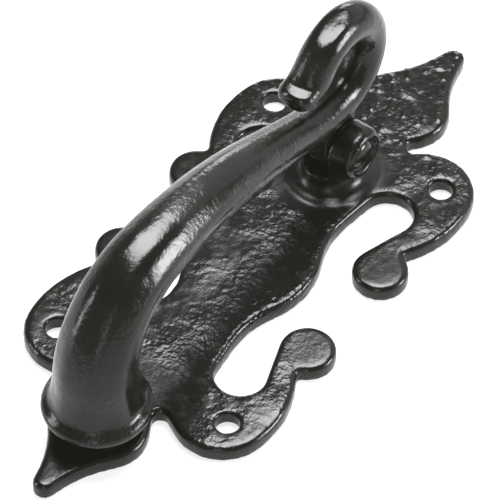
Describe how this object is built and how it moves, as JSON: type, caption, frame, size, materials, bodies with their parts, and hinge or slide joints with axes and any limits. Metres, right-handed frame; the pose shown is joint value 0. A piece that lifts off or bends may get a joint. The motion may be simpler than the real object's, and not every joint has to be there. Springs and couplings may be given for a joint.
{
  "type": "door knocker",
  "caption": "Black cast-iron door knocker: scrolled backplate with leaf ends and a curled monkey-tail striker arm that swings on a cross pin and falls on a strike stud.",
  "frame": {"origin": "centre of the plate's back face, midway between the four screw holes and the two leaf tips", "axes": "+Y up the door towards the hinge and the upper leaf, +Z out of the door, +X to the right as seen from the front"},
  "size_m": [0.0614, 0.1534, 0.0522],
  "materials": {
    "plate_iron": "satin black paint over a rough, hammered casting",
    "arm_iron": "semi-gloss black paint over a smoother casting",
    "pin_steel": "semi-gloss black paint",
    "stud_iron": "satin black paint"
  },
  "bodies": {
    "plate": {"backplate": "plate_iron", "strike_stud": "stud_iron", "hinge_pin": "pin_steel"},
    "arm": {"knocker_arm": "arm_iron"}
  },
  "joints": [
    {"name": "arm_hinge", "type": "hinge", "parent": "plate", "child": "arm", "pos_m": [0, 0.03, 0.0149], "axis": [-1, 0, 0], "range_deg": [0, 74]}
  ]
}
